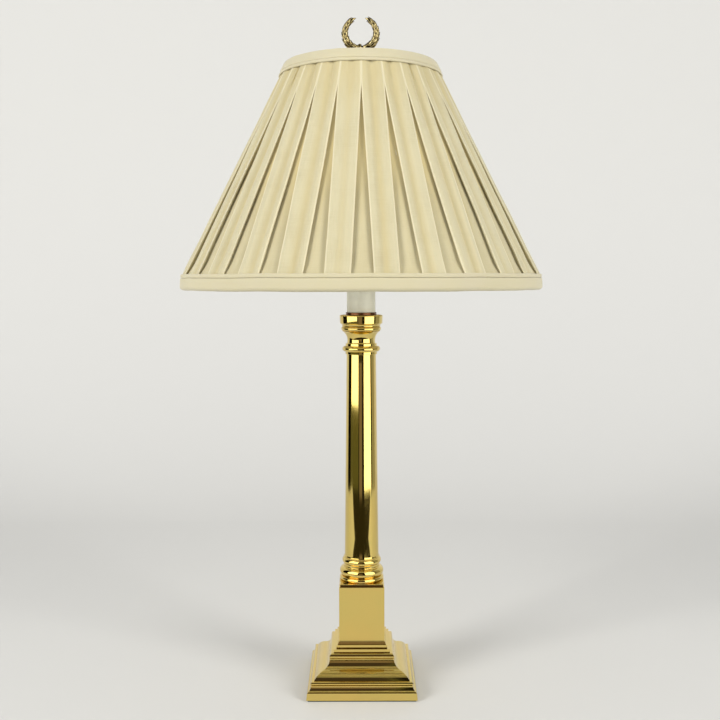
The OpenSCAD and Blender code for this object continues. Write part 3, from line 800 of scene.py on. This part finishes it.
def make_trims():
    """The four cloth-covered bands: a flat one and a thin welt at the hem and at the top."""
    low = [(196.8, 453.3)] + arc(197.4, 452.4, 1.0, 100, 10, 5) + [(198.6, 449.0), (198.7, 447.0)]
    low += arc(194.9, 444.5, 3.9, 8, -85, 10) + [(193.5, 440.6), (191.3, 440.6)]
    low += arc(190.6, 442.2, 1.6, -95, -170, 6) + [(187.9, 449.5), (188.9, 449.5), (190.8, 442.4)]
    low += [(195.9, 442.2), (196.6, 444.5)]
    bottom = cloth_band("bottom_band", low, 197, "bottom_trim", 0.35, 1.0)
    pipe_low = [(196.8, 453.6)] + arc(196.9, 454.6, 1.15, -70, 20, 5) + arc(196.7, 456.5, 1.2, 0, 100, 5)
    pipe_low += [(195.7, 457.4), (193.4, 456.8), (193.4, 455.6)]
    piping = cloth_band("bottom_welt", pipe_low, 196, "bottom_piping", 0.35, 1.0)
    up = [(87.7, 677.3)] + arc(88.4, 678.1, 1.0, -110, -20, 5) + [(88.9, 679.5), (85.5, 686.3)]
    up += arc(83.8, 686.4, 1.4, 10, 90, 6) + [(79.5, 687.8)] + arc(79.3, 686.7, 1.1, 95, 175, 5)
    up += [(80.3, 679.4), (81.3, 679.6), (79.4, 686.1), (83.4, 686.5)]
    top = cloth_band("top_band", up, 86, "top_trim", 0.25, 2.0)
    pipe_up = [(89.4, 673.8)] + arc(89.6, 674.9, 1.1, -70, 20, 5) + arc(88.9, 676.4, 0.9, 20, 100, 4)
    pipe_up += [(87.9, 677.1)]
    welt = cloth_band("top_welt", pipe_up, 90, "top_piping", 0.25, 2.0)
    return [bottom, piping, top, welt]


def make_lining():
    """The smooth inner lining, drawn tight over the upright wires."""
    rows, segments = 24, 288
    top_r, top_z, low_r, low_z = 78.6, 685.2, 191.3, 444.3
    slant = math.hypot(low_r - top_r, top_z - low_z)
    verts = []
    for i in range(rows):
        t = i / (rows - 1)
        taut = smooth(min(t, 1 - t) * 5)
        for j in range(segments):
            a = TAU * j / segments
            ripple = 0.3 * noise.noise(Vector((9 * math.cos(a), 9 * math.sin(a), 6 * t)))
            base = lerp(top_r, low_r, t)
            r = base * lerp(1.0, rib_chord(a), 0.62 * taut) + ripple * math.sin(math.pi * t)
            verts.append((r * MM * math.cos(a), r * MM * math.sin(a), lerp(top_z, low_z, t) * MM))
    obj = new_object("inner_lining", verts, grid_faces(rows, segments), MAT_LINING, "shade")
    width = TAU * low_r * MM
    add_thread_map(obj, rows, segments, width, [slant * MM * i / (rows - 1) for i in range(rows)])
    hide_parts("shade_lining")


cover, cover_slant = make_cover()
bands = make_trims()
make_lining()


# ----------------------------------------------------------------- finial

WREATH_Z, WREATH_R = 723.5, 17.4
SPRAY_SWEEP = 149.0
WHORLS = 13
LEAVES_IN_WHORL = 6


def leaf_on_arc(start, turn, base, length, width, lift):
    """A pointed laurel leaf laid along the wreath's arc, in mm: (vertices, faces, relief).

    start is the arc angle of its foot, turn its place round the branch, base its distance
    from the branch's middle and lift how far its tip stands off.
    """
    rows, cols = 12, 12
    verts, relief_and_shade = [], []
    for i in range(rows):
        t = i / (rows - 1)
        half = width / 2 * math.sin(math.pi * min(0.96, 0.16 + 0.84 * t) ** 0.85)
        rise = base + lift * t ** 1.6 + 0.45 * math.sin(math.pi * t)
        a = start + t * length / WREATH_R
        for j in range(cols):
            b = TAU * j / cols
            side, front = math.cos(b) * half, math.sin(b)
            thick = 0.42 * (1 - 0.6 * t)
            up = rise + front * thick - 0.16 * abs(math.cos(b)) * half
            if front > 0:
                up += 0.25 * (1 - abs(math.cos(b))) ** 2
            radial = WREATH_R + up * math.cos(turn) - side * math.sin(turn)
            across = up * math.sin(turn) + side * math.cos(turn)
            verts.append((radial * math.cos(a), across, WREATH_Z + radial * math.sin(a)))
            # Patina with painted shade: the leaf's upper side is bright, its underside and foot dark.
            relief_and_shade.append(max(front, 0.0) * smooth(t * 5) * (0.75 + 0.25 * t))
    return verts, grid_faces(rows, cols) + tube_ends(rows, cols), relief_and_shade


def woody_branch():
    """The branch of one spray, tapering to its tip, in mm: (vertices, faces, relief)."""
    rows, cols = 33, 12
    verts = []
    for i in range(rows):
        t = i / (rows - 1)
        a = math.radians(-90 + SPRAY_SWEEP * t)
        r = lerp(3.4, 1.6, t)
        for j in range(cols):
            b = TAU * j / cols
            radial = WREATH_R + r * math.cos(b)
            verts.append((radial * math.cos(a), r * math.sin(b), WREATH_Z + radial * math.sin(a)))
    return verts, grid_faces(rows, cols) + tube_ends(rows, cols), [0.0] * len(verts)


def spray_leaves(rng):
    """The leaves of one spray: whorls along the branch, shrinking upwards, and three at its tip."""
    leaves = []
    for i in range(WHORLS):
        t = i / (WHORLS - 1)
        start = math.radians(-90 + 7 + (SPRAY_SWEEP - 30) * t)
        taper = lerp(1.0, 0.66, t)
        for m in range(LEAVES_IN_WHORL):
            turn = TAU * (m + 0.5 * (i % 2) + rng.uniform(-0.08, 0.08)) / LEAVES_IN_WHORL
            length = rng.uniform(8.4, 9.8) * lerp(1, 0.9, t)
            lift = rng.uniform(1.1, 1.8) * taper
            leaves.append(leaf_on_arc(start, turn, lerp(3.0, 1.5, t), length, 4.5 * taper, lift))
    tip = math.radians(SPRAY_SWEEP - 98)
    return leaves + [leaf_on_arc(tip, turn, 0.7, 6.5, 3.0, -0.5) for turn in (0.6, 2.5, 4.4)]


def make_wreath():
    """Two laurel sprays, one the mirror of the other, rising from the knot."""
    rng = random.Random(3)
    verts, faces, relief_and_shade = [], [], []
    for side in (1, -1):
        for points, polys, heights in [woody_branch()] + spray_leaves(rng):
            base = len(verts)
            verts += [(side * x * MM, y * MM, z * MM) for x, y, z in points]
            faces += [tuple(base + v for v in p) for p in polys]
            relief_and_shade += heights
    obj = new_object("laurel_wreath", verts, faces, MAT_ANTIQUE, "finial")
    add_values(obj, "relief_and_shade", relief_and_shade)
    turn_outwards(obj)
    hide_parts("finial_wreath")


def ring_mesh(centre, axis_turn, major, minor):
    """A small ring round a branch, in mm: (vertices, faces)."""
    n, m = 28, 12
    verts = []
    for i in range(n):
        a = TAU * i / n
        for j in range(m):
            b = TAU * j / m
            rad = major + minor * math.cos(b)
            p = Vector((rad * math.cos(a), rad * math.sin(a), minor * 1.3 * math.sin(b)))
            verts.append(tuple(centre + axis_turn @ p))
    return verts, grid_faces(n, m, wrap_rows=True)


def make_knot():
    """The binding at the foot of the wreath: a round ribbed knot and two wraps on each side."""
    bm = bmesh.new()
    bmesh.ops.create_uvsphere(bm, u_segments=24, v_segments=16, radius=1.0)
    for v in bm.verts:
        v.co = Vector((v.co.x * 3.5, v.co.y * 4.7, v.co.z * 4.6))
        v.co += 0.25 * math.sin(5 * math.atan2(v.co.x, v.co.z)) * Vector((v.co.x, 0, v.co.z)).normalized()
    ball = [tuple(v.co) for v in bm.verts]
    # Patina with painted shade between the knot's ribs; the wraps stay nearly bright.
    relief_and_shade = [0.62 + 0.35 * math.sin(5 * math.atan2(x, z)) for x, y, z in ball]
    bm.verts.index_update()
    polys = [tuple(v.index for v in f.verts) for f in bm.faces]
    bm.free()
    foot = Vector((0, 0, WREATH_Z - WREATH_R))
    verts = [tuple((Vector(p) + foot + Vector((-1.2, 0, 1.3))) * MM) for p in ball]
    faces = list(polys)
    for x_angle in (-17, -13, 13, 17):
        a = math.radians(-90 + x_angle)
        centre = Vector((WREATH_R * math.cos(a), 0, WREATH_Z + WREATH_R * math.sin(a)))
        turn = Matrix.Rotation(-a, 3, "Y")
        points, rings = ring_mesh(centre, turn, 3.6, 0.55)
        base = len(verts)
        verts += [tuple(Vector(p) * MM) for p in points]
        relief_and_shade += [0.9] * len(points)
        faces += [tuple(base + v for v in p) for p in rings]
    obj = new_object("ribbon_knot", verts, faces, MAT_ANTIQUE, "finial")
    add_values(obj, "relief_and_shade", relief_and_shade)
    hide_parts("finial_ribbon")


make_wreath()
make_knot()


# ------------------------------------------------- floor, light, surround
# Lengths here are in metres, and azimuths in degrees.

ROOM_TOP = 1.9
WINDOW = (1.0, 0.985, 0.90)
WINDOW_GLOW = 2.6
POST = (0.012, 0.009, 0.006)
STAGE_REACH = 30.0
SWEEP_START, SWEEP_R = 0.7, 0.9
FLOOR_COLOR = (0.665, 0.662, 0.645)
SKY_COLOR = (0.97, 0.98, 1.0)
SKY_STRENGTH = 0.50
LIGHT_COLOR = (1.0, 0.985, 0.95)
LIGHT_SIZE = (1.3, 2.0)
LIGHT_AIM = (0, 0, 0.45)


def emission(name, color, strength):
    """A plain glowing material for a studio card."""
    mat = bpy.data.materials.new(name)
    mat.use_nodes = True
    tree = mat.node_tree
    tree.nodes.clear()
    light = tree.nodes.new("ShaderNodeEmission")
    light.inputs["Color"].default_value = (*color, 1)
    light.inputs["Strength"].default_value = strength
    out = tree.nodes.new("ShaderNodeOutputMaterial")
    tree.links.new(light.outputs[0], out.inputs["Surface"])
    return mat


def only_reflected(obj):
    """A studio card: seen in reflections only, it lights nothing and casts no shadow."""
    obj.visible_camera = False
    obj.visible_diffuse = False
    obj.visible_shadow = False
    obj.visible_transmission = False
    obj.visible_volume_scatter = False


def card(name, az0, az1, z0, z1, radius, color, strength=1.0):
    """An upright card at a radius round the lamp; azimuth 0 is the front and + is to the right."""
    steps = max(2, int(abs(az1 - az0) / 3))
    verts = []
    for k in range(steps + 1):
        a = math.radians(lerp(az0, az1, k / steps) - 90)
        x, y = radius * math.cos(a), radius * math.sin(a)
        verts += [(x, y, z0), (x, y, z1)]
    faces = [(2 * k, 2 * k + 2, 2 * k + 3, 2 * k + 1) for k in range(steps)]
    only_reflected(new_object(name, verts, faces, emission(name, color, strength)))


def level_card(name, half_width, depth, z, color):
    """A card lying level, from the near to the far distance in depth."""
    near, far = depth
    corners = [(-half_width, near, z), (half_width, near, z), (half_width, far, z), (-half_width, far, z)]
    only_reflected(new_object(name, corners, [(0, 1, 2, 3)], emission(name, color, 1.0)))


def make_surround():
    """Dark room, two windows, ceiling and the darker floor beyond the table, for the brass to mirror."""
    card("card_room", -112, 84, 0.0, ROOM_TOP, 1.10, (0.125, 0.125, 0.055))
    card("card_dark_left", -111, -84, 0.0, ROOM_TOP, 1.05, (0.004, 0.003, 0.002))
    card("card_window_left", -79, -22, 0.20, 1.8, 1.0, WINDOW, WINDOW_GLOW)
    card("card_post_left", -21, -16, 0.0, ROOM_TOP, 1.03, POST)
    card("card_person", -15, 4, 0.0, 0.42, 1.02, (0.24, 0.19, 0.17))
    card("card_person_high", -15, 4, 0.42, ROOM_TOP, 1.02, (0.06, 0.045, 0.035))
    card("card_post_right", 5, 18, 0.0, ROOM_TOP, 1.03, POST)
    card("card_window_right", 19, 72, 0.02, 1.8, 1.0, WINDOW, WINDOW_GLOW)
    card("card_right_edge", 73, 80, 0.0, ROOM_TOP, 1.03, (0.02, 0.018, 0.012))
    card("card_right_far", 84, 112, 0.0, ROOM_TOP, 1.06, (0.36, 0.36, 0.33))
    level_card("card_floor", 1.1, (-1.15, -0.46), 0.0006, (0.03, 0.026, 0.013))
    level_card("card_ceiling", 1.2, (-1.2, 0.6), ROOM_TOP, (0.30, 0.29, 0.25))


def area_light(name, location, power):
    """A large soft light aimed at the middle of the lamp, kept out of the mirror of the brass."""
    data = bpy.data.lights.new(name, "AREA")
    data.shape = "RECTANGLE"
    data.size, data.size_y = LIGHT_SIZE
    data.energy = power
    data.color = LIGHT_COLOR
    lamp = bpy.data.objects.new(name, data)
    bpy.context.collection.objects.link(lamp)
    lamp.location = location
    lamp.rotation_euler = (Vector(LIGHT_AIM) - Vector(location)).to_track_quat("-Z", "Y").to_euler()
    lamp.visible_camera = False
    lamp.visible_glossy = False


def make_stage():
    """Pale floor running up into a pale wall behind, and soft light."""
    floor_mat, tree, shader = principled("pale_floor", FLOOR_COLOR, 0.6)
    grain = node(tree, "TexNoise", Scale=90.0, Detail=3.0)
    tree.links.new(coords(tree), grain.inputs["Vector"])
    bump(tree, shader, grain.outputs["Fac"], 0.05, 0.0002)
    shader.inputs["Specular IOR Level"].default_value = 0.2
    line = [(-STAGE_REACH, 0.0), (SWEEP_START, 0.0)]
    line += arc(SWEEP_START, SWEEP_R, SWEEP_R, -90, 0, 14) + [(SWEEP_START + SWEEP_R, 5.0)]
    verts = [(x, y, z) for y, z in line for x in (-STAGE_REACH, STAGE_REACH)]
    faces = [(2 * i, 2 * i + 1, 2 * i + 3, 2 * i + 2) for i in range(len(line) - 1)]
    new_object("floor", verts, faces, floor_mat)

    world = bpy.data.worlds.new("studio")
    bpy.context.scene.world = world
    world.use_nodes = True
    sky = world.node_tree.nodes["Background"]
    sky.inputs["Color"].default_value = (*SKY_COLOR, 1)
    sky.inputs["Strength"].default_value = SKY_STRENGTH

    area_light("window_left", (-2.7, -2.05, 1.75), 100)
    area_light("window_right", (2.55, -1.9, 1.55), 78)


make_surround()
make_stage()
bpy.context.scene.view_settings.view_transform = "Standard"
